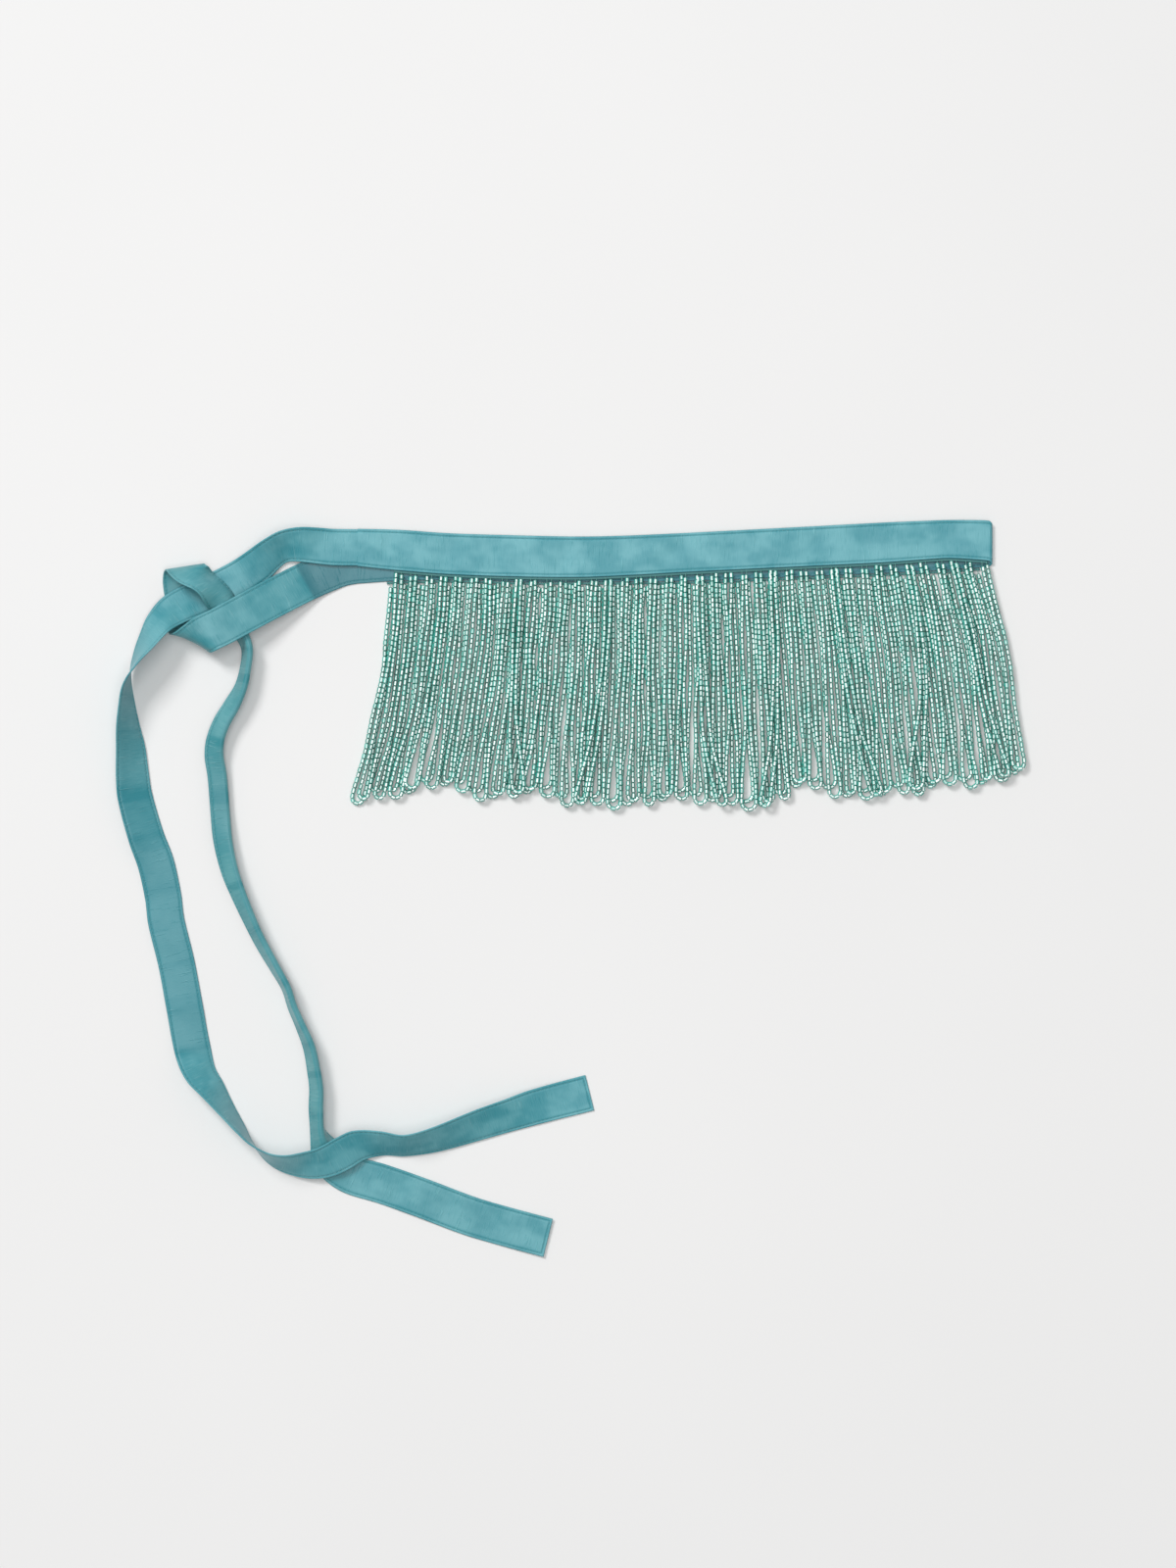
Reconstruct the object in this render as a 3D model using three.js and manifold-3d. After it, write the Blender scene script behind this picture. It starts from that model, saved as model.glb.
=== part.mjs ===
// A beaded fringe belt lying flat: a long narrow sash of doubled satin, folded in half crosswise at its right end.
// Looped bead strands hang from the lower edge of both layers, and the two free ties are half-knotted on the left.
// Millimetres, +Z up, the surface it lies on is z = 0, +Y points from the fringe to the waistband.

import * as THREE from "three";
import { mergeVertices } from "three/addons/utils/BufferGeometryUtils.js";
import Module from "manifold-3d";

const wasm = await Module();
wasm.setup();

// Driving sizes.
const WALL = 1.2;               // thickness of the doubled, topstitched cloth
const SEAM_GAP = 0.3;           // room between two pieces that meet at a seam
const TIE_FRONT_WIDTH = 23.2;
const TIE_BACK_WIDTH = 25;
const SHIFT = { x: 2.2, y: 0.3 };  // moves the middle of the whole outline to the origin

// Waistband: heights of its two layers and the round turn at the right end.
const BACK_LAYER_Z = WALL / 2;
const FRONT_LAYER_Z = 2.8;
const TURN_X = 265;             // centre of the turn
const TURN_RADIUS = 1.6;
const JOIN_X = -137.5;          // seam between the waistband and the ties

// Fringe: bead loops on a narrow tape along each lower edge.
const LOOPS_PER_LAYER = 40;
const STRAND_RADIUS = 1.35;     // of the triangle round a strand, which is then 2.3 wide
const STRAND_SIDES = 3;
const PAIR_SPACING = 3.0;       // between the two legs of a loop at the tape
const FLARE = 3;                // power of the share at which the two legs part: most of it near the loop's end
const TAPE_WIDTH = 1.5;
const TAPE_THICKNESS = 1.4;
const TAPE_OVERHANG = 3;        // past the middle of the outermost loops
const ROOT_DEPTH = 0.9;         // from the cloth's edge to a strand's root inside the tape
const RISE_DEPTH = 2.8;         // where a strand reaches the height that it lies at
const CROSSING_LIFT = 2.35;     // a strand that crosses over its neighbours lies this much higher
const GOLDEN = 0.618034;
const PLASTIC = 0.754878;

const rad = THREE.MathUtils.degToRad;
const lerp = THREE.MathUtils.lerp;

// A table is a list of rows under named columns.
function table(columns, rows) {
  return rows.map((row) => Object.fromEntries(columns.map((name, i) => [name, row[i]])));
}

// Smooth curve through a table's rows. key(row) is the distance along it, and every column is carried with slopes
// taken from the neighbouring rows.
function smoothRow(rows, keys, at) {
  let i = 0;
  while (i < rows.length - 2 && at > keys[i + 1]) i += 1;
  const span = keys[i + 1] - keys[i];
  const t = THREE.MathUtils.clamp((at - keys[i]) / span, 0, 1);
  const slope = (k, name) => {
    const a = Math.max(k - 1, 0);
    const b = Math.min(k + 1, rows.length - 1);
    return (rows[b][name] - rows[a][name]) / (keys[b] - keys[a]);
  };
  const out = {};
  for (const name of Object.keys(rows[0])) {
    const m0 = slope(i, name) * span;
    const m1 = slope(i + 1, name) * span;
    const p0 = rows[i][name];
    const p1 = rows[i + 1][name];
    const t2 = t * t;
    const t3 = t2 * t;
    out[name] = (2 * t3 - 3 * t2 + 1) * p0 + (t3 - 2 * t2 + t) * m0 + (3 * t2 - 2 * t3) * p1 + (t3 - t2) * m1;
  }
  return out;
}

// Distances along a table's rows, straight from row to row.
function distances(rows) {
  const keys = [0];
  for (let i = 1; i < rows.length; i += 1) {
    const a = rows[i - 1];
    const b = rows[i];
    keys.push(keys[i - 1] + Math.hypot(b.x - a.x, b.y - a.y, b.z - a.z));
  }
  return keys;
}

// Stations down a table: each stretch between two rows is cut into steps no longer than the given one.
function stations(rows, longestStep) {
  const keys = distances(rows);
  const list = [smoothRow(rows, keys, 0)];
  for (let i = 1; i < rows.length; i += 1) {
    const steps = Math.ceil((keys[i] - keys[i - 1]) / longestStep);
    for (let k = 1; k <= steps; k += 1) list.push(smoothRow(rows, keys, lerp(keys[i - 1], keys[i], k / steps)));
  }
  return list;
}

// Closed wall of even thickness round a grid of points on its middle surface, grid[along][across].
function sheetSolid(grid, thickness) {
  const rows = grid.length;
  const columns = grid[0].length;
  const positions = [];
  const normal = (i, j) => {
    const along = new THREE.Vector3().subVectors(
      grid[Math.min(i + 1, rows - 1)][j], grid[Math.max(i - 1, 0)][j]);
    const across = new THREE.Vector3().subVectors(
      grid[i][Math.min(j + 1, columns - 1)], grid[i][Math.max(j - 1, 0)]);
    return along.cross(across).normalize();
  };
  for (const side of [0.5, -0.5]) {
    for (let i = 0; i < rows; i += 1) {
      for (let j = 0; j < columns; j += 1) {
        const p = grid[i][j].clone().addScaledVector(normal(i, j), side * thickness);
        positions.push(p.x, p.y, p.z);
      }
    }
  }
  const top = (i, j) => i * columns + j;
  const bottom = (i, j) => rows * columns + i * columns + j;
  const faces = [];
  const quad = (a, b, c, d) => faces.push(a, b, c, a, c, d);
  for (let i = 0; i < rows - 1; i += 1) {
    for (let j = 0; j < columns - 1; j += 1) {
      quad(top(i, j), top(i + 1, j), top(i + 1, j + 1), top(i, j + 1));
      quad(bottom(i, j), bottom(i, j + 1), bottom(i + 1, j + 1), bottom(i + 1, j));
    }
    const last = columns - 1;
    quad(top(i, 0), bottom(i, 0), bottom(i + 1, 0), top(i + 1, 0));
    quad(top(i, last), top(i + 1, last), bottom(i + 1, last), bottom(i, last));
  }
  for (let j = 0; j < columns - 1; j += 1) {
    const end = rows - 1;
    quad(top(0, j), top(0, j + 1), bottom(0, j + 1), bottom(0, j));
    quad(top(end, j), bottom(end, j), bottom(end, j + 1), top(end, j + 1));
  }
  const geometry = new THREE.BufferGeometry();
  geometry.setAttribute("position", new THREE.Float32BufferAttribute(positions, 3));
  geometry.setIndex(faces);
  return geometry;
}

// Waistband, one row for each section: from the seam of the back layer to the turn, round it, and back on the front
// layer. x, y, z is the middle of the strip, whose width runs along Y.
const backLayer = table(["x", "y", "z", "width"], [
  [JOIN_X + SEAM_GAP, 206.6, BACK_LAYER_Z, 25.0],
  [-111, 208.5, BACK_LAYER_Z, 25.4],
  [-69, 209.3, BACK_LAYER_Z, 25.6],
  [-34, 208.0, BACK_LAYER_Z, 25.6],
  [2.5, 208.0, BACK_LAYER_Z, 25.6],
  [72, 208.5, BACK_LAYER_Z, 25.6],
  [134, 210.8, BACK_LAYER_Z, 25.6],
  [197, 213.4, BACK_LAYER_Z, 25.6],
  [240, 215.6, BACK_LAYER_Z, 25.6],
  [256, 216.8, BACK_LAYER_Z, 25.6],
]);
const frontLayer = table(["x", "y", "z", "width"], [
  [256, 221.8, 3.8, 25.2],
  [240, 222.3, 3.1, 24.4],
  [229, 221.9, FRONT_LAYER_Z, 24.6],
  [197, 220.1, FRONT_LAYER_Z, 25.5],
  [134, 216.9, FRONT_LAYER_Z, 25.2],
  [72, 213.8, FRONT_LAYER_Z, 25.0],
  [34, 211.9, FRONT_LAYER_Z, 25.4],
  [2.5, 211.0, FRONT_LAYER_Z, 26.0],
  [-45.5, 211.8, FRONT_LAYER_Z, 26.4],
  [-81, 213.1, FRONT_LAYER_Z, 26.2],
  [-111, 215.3, FRONT_LAYER_Z, 25.9],
  [JOIN_X + SEAM_GAP, 217.0, FRONT_LAYER_Z + 0.4, 23.8],
]);

function turnRows() {
  const rows = [];
  const steps = 6;
  for (let k = 0; k <= steps; k += 1) {
    const angle = rad(-90 + (180 * k) / steps);
    rows.push({
      x: TURN_X + TURN_RADIUS * Math.cos(angle),
      y: lerp(217.4, 221.2, k / steps),
      z: BACK_LAYER_Z + TURN_RADIUS * (1 + Math.sin(angle)),
      width: 25.6,
    });
  }
  return rows;
}

const bandSections = stations([...backLayer, ...turnRows(), ...frontLayer], 14);

function waistbandGeometry() {
  const across = [-0.5, 0, 0.5];
  const grid = bandSections.map((s) => across.map((a) => new THREE.Vector3(s.x, s.y + a * s.width, s.z)));
  return sheetSolid(grid, WALL);
}

// The two layers' sections from left to right, as far as the turn.
const turnStart = bandSections.findIndex((s) => s.x >= TURN_X);
const layerSections = {
  back: bandSections.slice(0, turnStart + 1),
  front: bandSections.slice(turnStart + 1).filter((s) => s.z > FRONT_LAYER_Z - 0.1).reverse(),
};

// Ties. Each row is a section: x, y, z of its middle, the heading of its width in plan, how far that leans up from
// level, and how far the section is bent over its middle line (positive is an arch, 170 is folded double), with the
// width that the bend takes.
const TIE_COLUMNS = ["x", "y", "z", "heading", "lean", "bend", "spread"];

const tieFront = table(TIE_COLUMNS, [
  [JOIN_X, 217.0, 3.2, 90, 0, 0, 20],
  [-153, 217.2, 4.2, 90, 3, 0, 20],
  [-163, 218.0, 5.8, 90, 10, 0, 20],
  [-174, 218.0, 7.4, 94, 14, 0, 20],
  [-184.5, 216.4, 7.4, 105, 26, 0, 20],
  [-192, 212.0, 6.6, 115, 24, 0, 20],
  [-200, 205.6, 5.0, 119, 14, 0, 20],
  [-210, 199.0, 3.6, 118, 4, 0, 20],
  [-222, 192.5, 3.4, 116, 0, 0, 20],
  [-241.5, 183.5, 4.8, 117, -7, 0, 20],
  [-254.5, 177.0, 8.8, 126, -22, 0, 20],
  [-263, 169.0, 12.8, 138, -39, 0, 20],
  [-271.5, 155.5, 15.0, 148, -57, 0, 20],
  [-277, 146.5, 15.2, 153, -71, 0, 20],
  [-280.5, 139.0, 14.4, 158, -82, 0, 20],
  [-282.5, 132.5, 13.4, 166, -93, 0, 20],
  [-283.5, 126.0, 12.6, 173, -102, 0, 20],
  [-283.5, 115.5, 11.7, 179, -112, 0, 20],
  [-283, 103.0, 10.4, 182, -124, 0, 20],
  [-281.5, 89.5, 8.9, 186, -137, 0, 20],
  [-280.5, 71.5, 6.6, 189, -150, 0, 20],
  [-279, 58.0, 5.3, 193, -157, 0, 20],
  [-272, 32.5, 3.9, 197, -164, 0, 20],
  [-266, 15.5, 2.0, 196, -174, 0, 20],
  [-261.5, -5.5, 0.9, 191, -179, 0, 20],
  [-259.5, -21.0, 1.6, 191, -176, 0, 20],
  [-253, -48.0, 1.2, 193, -178, 0, 20],
  [-248, -74.5, 1.6, 192, -176, 0, 20],
  [-242.5, -103.0, 3.0, 194, -168, 0, 20],
  [-237, -118.0, 7.6, 208, -144, 0, 20],
  [-229.5, -127.8, 10.0, 217, -128, 0, 20],
  [-220, -141.0, 11.5, 217, -112, 0, 20],
  [-211, -153.5, 12.3, 219, -100, 0, 20],
  [-204.5, -162.0, 12.6, 224, -89, 0, 20],
  [-194, -170.8, 12.6, 236, -72, 0, 20],
  [-184, -174.8, 12.0, 251, -58, 0, 20],
  [-174, -176.0, 11.4, 266, -44, 0, 20],
  [-163, -175.2, 11.2, 278, -32, 0, 20],
  [-154.5, -172.6, 10.6, 288, -23, 0, 20],
  [-146.5, -168.6, 9.8, 296, -20, 0, 20],
  [-136, -163.4, 9.0, 291, -29, 0, 20],
  [-121.5, -162.2, 9.2, 275, -45, 0, 20],
  [-107.5, -163.6, 10.2, 270, -51, 0, 20],
  [-90.5, -160.6, 9.4, 282, -45, 0, 20],
  [-61, -151.0, 7.0, 288, -31, 0, 20],
  [-40.5, -144.5, 5.2, 287, -23, 0, 20],
  [-24.5, -139.5, 3.4, 286, -12, 0, 20],
  [10.5, -130.5, 0.8, 284, 0, 0, 20],
]);

const tieBack = table(TIE_COLUMNS, [
  [JOIN_X, 206.6, BACK_LAYER_Z, 90, 0, 0, 20],
  [-147, 205.0, 0.7, 102, 0, 0, 20],
  [-159.5, 200.2, 1.2, 115, 0, 0, 20],
  [-167, 196.8, 2.0, 119, 0, 0, 20],
  [-175, 192.8, 4.4, 119, 0, 0, 20],
  [-190.5, 184.5, 9.4, 119, 0, 0, 20],
  [-209.5, 174.0, 14.6, 119, 0, 0, 20],
  [-224, 165.6, 17.2, 120, 0, 0, 20],
  [-233.0, 160.4, 17.8, 121, 2, 0, 20],
  [-237.4, 157.8, 16.0, 129, 25, 0, 20],
  [-240.4, 157.8, 11.8, 156, 37, 0, 20],
  [-242.4, 160.4, 7.6, 184, 25, 0, 20],
  [-243.4, 165.4, 4.6, 192, 5, 0, 20],
  [-245.4, 174.0, 1.8, 193, 0, 0, 20],
  [-248, 186.0, 0.8, 193, 0, 0, 20],
  [-249.4, 196.5, 1.0, 192, 0, 0, 20],
  [-248.8, 202.3, 3.4, 190, 0, 0, 20],
  [-247, 204.3, 8.6, 189, 2, 0, 20],
  [-244.5, 202.3, 13.6, 192, 4, 20, 20],
  [-240.5, 198.6, 15.8, 205, 4, 80, 20],
  [-235.0, 194.4, 15.6, 217, 2, 130, 22],
  [-228.5, 189.6, 14.6, 220, 2, 150, 22],
  [-221.5, 181.4, 13.4, 212, 3, 146, 20],
  [-214.5, 171.0, 11.4, 205, 16, 170, 10],
  [-208.0, 161.5, 12.0, 195, 26, 166, 6],
  [-205, 152.5, 12.8, 184, 24, 168, 4.5],
  [-206, 139.5, 12.8, 174, 24, 168, 4.5],
  [-208.5, 127.0, 12.3, 166, 30, 168, 4.5],
  [-213, 115.0, 11.0, 157, 43, 168, 4.5],
  [-219, 104.0, 9.9, 154, 50, 168, 4.5],
  [-222.5, 94.0, 9.2, 165, 56, 168, 4.5],
  [-223, 84.5, 7.4, 180, 68, 168, 4.5],
  [-221, 72.0, 5.2, 184, 80, 168, 4.5],
  [-219, 47.5, 5.2, 184, 80, 168, 4.5],
  [-217.5, 31.0, 7.7, 188, 66, 168, 4.5],
  [-214, 13.0, 9.8, 194, 52, 168, 4.5],
  [-209, -3.0, 11.5, 200, 40, 168, 4.5],
  [-201, -23.5, 12.5, 204, 29, 168, 4.5],
  [-195.5, -35.0, 12.7, 207, 26, 168, 4.5],
  [-187.5, -50.5, 13.0, 207, 20, 168, 4.5],
  [-181, -63.0, 13.2, 205, 15, 168, 4.5],
  [-177, -75.0, 13.2, 204, 17, 168, 4.5],
  [-172, -86.0, 13.1, 204, 19, 168, 4.5],
  [-165.5, -100.0, 12.7, 201, 27, 168, 4.5],
  [-162, -114.5, 12.4, 192, 31, 168, 4.5],
  [-160, -127.0, 12.2, 184, 33, 168, 4.5],
  [-160, -140.0, 12.4, 181, 31, 166, 4.5],
  [-160, -153.0, 12.6, 182, 18, 150, 4.5],
  [-158.5, -162.0, 11.6, 192, 6, 110, 6],
  [-155.5, -170.0, 7.4, 210, 2, 60, 14],
  [-150, -177.0, 3.6, 230, 0, 24, 20],
  [-140.5, -183.0, 1.4, 246, 0, 6, 20],
  [-122, -188.6, 0.7, 253, 0, 0, 20],
  [-98.5, -196.8, 1.4, 250, 0, 0, 20],
  [-65, -209.4, 0.8, 251, 0, 0, 20],
  [-39.5, -216.8, 0.8, 254, 0, 0, 20],
  [-16, -223.0, 2.0, 256, 0, 0, 20],
]);

// Points across one section of a tie, walked outwards from its middle. The direction swings by the bend over the
// spread, and is straight beyond it.
function sectionPoints(s, width, places) {
  const heading = new THREE.Vector3(Math.cos(rad(s.heading)), Math.sin(rad(s.heading)), 0);
  const up = new THREE.Vector3(0, 0, 1);
  const half = s.spread / 2;
  const points = new Map([[0, new THREE.Vector3(s.x, s.y, s.z)]]);
  for (const side of [-1, 1]) {
    let at = 0;
    let point = points.get(0).clone();
    for (const place of places.filter((p) => Math.sign(p) === side).sort((a, b) => side * (a - b))) {
      const steps = 4;
      const target = place * width;
      for (let k = 0; k < steps; k += 1) {
        const middle = lerp(at, target, (k + 0.5) / steps);
        const swing = THREE.MathUtils.clamp(middle / half, -1, 1) / 2;
        const angle = rad(s.lean - s.bend * swing);
        const step = (target - at) / steps;
        point = point.clone().addScaledVector(heading, step * Math.cos(angle)).addScaledVector(up, step * Math.sin(angle));
      }
      at = target;
      points.set(place, point.clone());
    }
  }
  return places.map((p) => points.get(p));
}

function tieGeometry(rows, width, places, longestStep) {
  const grid = stations(rows, longestStep).map((s) => sectionPoints(s, width, places));
  return sheetSolid(grid, WALL);
}

// Lower edge of a layer of the waistband at a place along X.
function lowerEdge(sections, x) {
  let i = 0;
  while (i < sections.length - 2 && x > sections[i + 1].x) i += 1;
  const a = sections[i];
  const b = sections[i + 1];
  const t = (x - a.x) / (b.x - a.x);
  return { y: lerp(a.y - a.width / 2, b.y - b.width / 2, t), z: lerp(a.z, b.z, t) };
}

// Fringe. rootLift raises the tape's middle over the cloth's, lieZ is the height that the strands lie at, phase
// shifts one layer's spacing against the other's, drift does so to its soft waves, endShift moves its loops' ends so
// that one layer fills the other's gaps, and crossings name the loops that drift over their neighbours.
const fringeLayers = {
  fringe_back: {
    sections: layerSections.back, rootLift: 0.38, lieZ: 0.98, phase: 0.35, drift: 0.05,
    from: -115.8, to: 256.8, endShift: -4.8, shorter: 2.5, crossings: {},
  },
  fringe_front: {
    sections: layerSections.front, rootLift: 0, lieZ: 3.4, phase: 0, drift: 0,
    from: -111.2, to: 261.4, endShift: 0, shorter: 0,
    crossings: { 8: 9, 14: -8, 20: 10, 25: -9, 29: 11, 34: -9, 37: 8 },
  },
};

// Line that the loops' lower ends follow.
const hem = table(["x", "y"], [
  [-134, 54], [-110, 61], [-86, 65], [-58, 58], [-23, 59], [-6, 54], [47, 54],
  [70, 56], [127, 54], [144, 64], [180, 58], [215, 60], [237, 66], [266, 68], [286, 73],
]);
const HEM_LEFT = -134;
const HEM_RIGHT = 284;

// Even but unrepeating spread of values between -0.5 and 0.5.
function scatter(index, ratio, phase) {
  const value = (index + 1) * ratio + phase;
  return value - Math.floor(value) - 0.5;
}

// Sideways drift of the whole layer, in soft waves that bunch the strands and open narrow gaps.
function waver(x, y, drift) {
  const wave = 2 * Math.PI;
  return 1.3 * Math.sin(wave * (x / 71 + y / 150 + drift))
    + 0.9 * Math.sin(wave * (x / 43 - y / 95 + 2.3 * drift))
    + 0.5 * Math.sin(wave * (x / 29 + y / 47 + 4.1 * drift));
}

function loopPath(layer, index) {
  const share = index / (LOOPS_PER_LAYER - 1);
  const rootX = lerp(layer.from, layer.to, share) + 1.2 * scatter(index, GOLDEN, layer.phase);
  const crossing = layer.crossings[index] ?? 0;
  const drifted = layer.endShift + crossing;
  const endX = lerp(HEM_LEFT, HEM_RIGHT, share) + 2.4 * scatter(index, PLASTIC, layer.phase) + drifted;
  const hemKeys = hem.map((row) => row.x);
  const endRadius = 2.9 + 0.8 * scatter(index, PLASTIC, 0.5 + layer.phase);
  const endY = smoothRow(hem, hemKeys, endX).y + layer.shorter + 5 * scatter(index, GOLDEN, 0.2 + layer.phase);
  const lieZ = layer.lieZ + (crossing ? CROSSING_LIFT : 0);
  const spreadPower = lerp(1.6, 0.6, share);
  const leg = (side) => {
    const edge = lowerEdge(layer.sections, rootX);
    const bottom = endY + endRadius;
    const points = [
      new THREE.Vector3(rootX + (side * PAIR_SPACING) / 2, edge.y - ROOT_DEPTH, edge.z + layer.rootLift),
    ];
    for (const share of [0, 0.35, 0.7, 1]) {
      const y = lerp(edge.y - RISE_DEPTH, bottom, share);
      const offset = side * lerp(PAIR_SPACING / 2, endRadius, share ** FLARE);
      const x = lerp(rootX, endX, share ** spreadPower) + offset;
      const fade = Math.min(1, share / 0.35);
      const settle = share === 0 ? layer.lieZ : lieZ;
      points.push(new THREE.Vector3(x + fade * waver(x, y, layer.drift), y, settle));
    }
    return points;
  };
  const left = leg(-1);
  const right = leg(1);
  const a = left[left.length - 1];
  const b = right[right.length - 1];
  const centre = new THREE.Vector3().addVectors(a, b).multiplyScalar(0.5);
  const radius = (b.x - a.x) / 2;
  const bend = [-135, -90, -45].map((angle) => new THREE.Vector3(
    centre.x + radius * Math.cos(rad(angle)), centre.y + radius * Math.sin(rad(angle)), centre.z));
  return [...left, ...bend, ...right.reverse()];
}

// Tube with a flat underside along a path: a triangle at each station, square to the path's direction in plan.
function strandGeometry(path) {
  const positions = [];
  const corners = [];
  for (let k = 0; k < STRAND_SIDES; k += 1) corners.push(rad(90 + (360 * k) / STRAND_SIDES));
  path.forEach((p, i) => {
    const before = path[Math.max(i - 1, 0)];
    const after = path[Math.min(i + 1, path.length - 1)];
    const side = new THREE.Vector3(after.y - before.y, before.x - after.x, 0).normalize();
    for (const corner of corners) {
      positions.push(
        p.x + side.x * STRAND_RADIUS * Math.cos(corner),
        p.y + side.y * STRAND_RADIUS * Math.cos(corner),
        p.z + STRAND_RADIUS * Math.sin(corner));
    }
  });
  const faces = [];
  for (let i = 0; i < path.length - 1; i += 1) {
    for (let k = 0; k < STRAND_SIDES; k += 1) {
      const next = (k + 1) % STRAND_SIDES;
      const a = i * STRAND_SIDES + k;
      const b = i * STRAND_SIDES + next;
      faces.push(a, b + STRAND_SIDES, b, a, a + STRAND_SIDES, b + STRAND_SIDES);
    }
  }
  const last = (path.length - 1) * STRAND_SIDES;
  faces.push(0, 1, 2, last, last + 2, last + 1);
  const geometry = new THREE.BufferGeometry();
  geometry.setAttribute("position", new THREE.Float32BufferAttribute(positions, 3));
  geometry.setIndex(faces);
  return geometry;
}

function tapeGeometry(layer) {
  const middle = SEAM_GAP + TAPE_WIDTH / 2;
  const first = layer.from - TAPE_OVERHANG;
  const last = layer.to + TAPE_OVERHANG;
  const between = layer.sections.map((s) => s.x).filter((x) => x > first + 1 && x < last - 1);
  const grid = [first, ...between, last].map((x) => {
    const edge = lowerEdge(layer.sections, x);
    return [-0.5, 0.5].map(
      (a) => new THREE.Vector3(x, edge.y - middle + a * TAPE_WIDTH, edge.z + layer.rootLift));
  });
  return sheetSolid(grid, TAPE_THICKNESS);
}

function toManifold(geometry) {
  const merged = mergeVertices(geometry, 1e-5);
  return new wasm.Manifold(new wasm.Mesh({
    numProp: 3,
    vertProperties: new Float32Array(merged.attributes.position.array),
    triVerts: new Uint32Array(merged.index.array),
  }));
}

function fromManifold(solid) {
  const mesh = solid.getMesh();
  const geometry = new THREE.BufferGeometry();
  geometry.setAttribute("position", new THREE.Float32BufferAttribute(mesh.vertProperties, 3));
  geometry.setIndex(Array.from(mesh.triVerts));
  return geometry;
}

function fringeGeometry(layer) {
  let solid = toManifold(tapeGeometry(layer));
  for (let i = 0; i < LOOPS_PER_LAYER; i += 1) solid = solid.add(toManifold(strandGeometry(loopPath(layer, i))));
  return fromManifold(solid);
}

const belt = new THREE.Group();
belt.position.set(SHIFT.x, SHIFT.y, 0);

function addPiece(name, geometry, color, roughness) {
  const mesh = new THREE.Mesh(geometry, new THREE.MeshStandardMaterial({ color, roughness, metalness: 0 }));
  mesh.name = name;
  belt.add(mesh);
}

const FLAT_PLACES = [-0.5, -0.17, 0.17, 0.5];
const FOLD_PLACES = [-0.5, -0.22, -0.07, 0, 0.07, 0.22, 0.5];

addPiece("waistband", waistbandGeometry(), 0x70b2ba, 0.5);
addPiece("tie_front", tieGeometry(tieFront, TIE_FRONT_WIDTH, FLAT_PLACES, 14), 0x4e94a0, 0.5);
addPiece("tie_back", tieGeometry(tieBack, TIE_BACK_WIDTH, FOLD_PLACES, 16), 0x55a0aa, 0.5);
for (const [name, layer] of Object.entries(fringeLayers)) addPiece(name, fringeGeometry(layer), 0x52a091, 0.2);

export default belt;
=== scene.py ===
# A beaded fringe belt, laid flat: a long sash of doubled slubby satin, folded in half at its right end, with looped
# strands of glass tube beads on the lower edge of both layers and two free ties that are half-knotted on the left.
# Lengths are in millimetres until a mesh is made. +Z is up, z = 0 is the surface, +Y points to the waistband.

import bpy
import numpy as np
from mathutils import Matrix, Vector


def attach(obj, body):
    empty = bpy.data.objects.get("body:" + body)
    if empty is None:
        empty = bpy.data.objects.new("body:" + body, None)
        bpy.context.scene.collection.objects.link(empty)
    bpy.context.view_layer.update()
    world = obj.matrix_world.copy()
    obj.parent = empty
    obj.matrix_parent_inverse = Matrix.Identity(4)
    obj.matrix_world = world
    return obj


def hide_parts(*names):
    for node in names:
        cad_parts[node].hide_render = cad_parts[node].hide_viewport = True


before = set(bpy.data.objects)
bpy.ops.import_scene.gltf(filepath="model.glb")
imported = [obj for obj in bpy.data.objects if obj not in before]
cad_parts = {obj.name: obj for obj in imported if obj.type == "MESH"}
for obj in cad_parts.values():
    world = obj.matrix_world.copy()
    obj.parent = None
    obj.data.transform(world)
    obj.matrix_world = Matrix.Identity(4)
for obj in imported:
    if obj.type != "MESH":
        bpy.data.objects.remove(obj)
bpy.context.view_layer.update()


# Waistband. One strip of slubby satin, cut about 70 mm wide, doubled and topstitched along both long edges.
# The back layer lies on the surface, turns round at the right end, and comes back to the left as the front layer.

MM = 0.001
SHIFT = np.array([2.2, 0.3, 0.0])       # puts the middle of the whole outline at the origin
JOIN_X = -137.35                        # seam between the waistband and the ties
BAND_WIDTH = 25.6

BACK_ROWS = [                           # x, y, z of the strip's middle, and its width
    (JOIN_X, 206.6, 0.6, 25.0), (-111, 208.5, 0.6, 25.4), (-69, 209.3, 0.6, 25.6), (-34, 208.0, 0.6, 25.6),
    (2.5, 208.0, 0.6, 25.6), (72, 208.5, 0.6, 25.6), (134, 210.8, 0.6, 25.6), (197, 213.4, 0.6, 25.6),
    (240, 215.6, 0.6, 25.6), (256, 216.8, 0.6, 25.6),
]
FRONT_ROWS = [
    (256, 221.8, 3.8, 25.2), (240, 222.3, 3.1, 24.4), (229, 221.9, 2.8, 24.6), (197, 220.1, 2.8, 25.5),
    (134, 216.9, 2.8, 25.2), (72, 213.8, 2.8, 25.0), (34, 211.9, 2.8, 25.4), (2.5, 211.0, 2.8, 26.0),
    (-45.5, 211.8, 2.8, 26.4), (-81, 213.1, 2.8, 26.2), (-111, 215.3, 2.8, 25.9), (JOIN_X, 217.0, 3.2, 23.8),
]


def distances(rows):
    """Straight distance along a table's rows, from row to row, through their first three columns."""
    return np.concatenate([[0.0], np.cumsum(np.linalg.norm(np.diff(rows[:, :3], axis=0), axis=1))])


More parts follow.
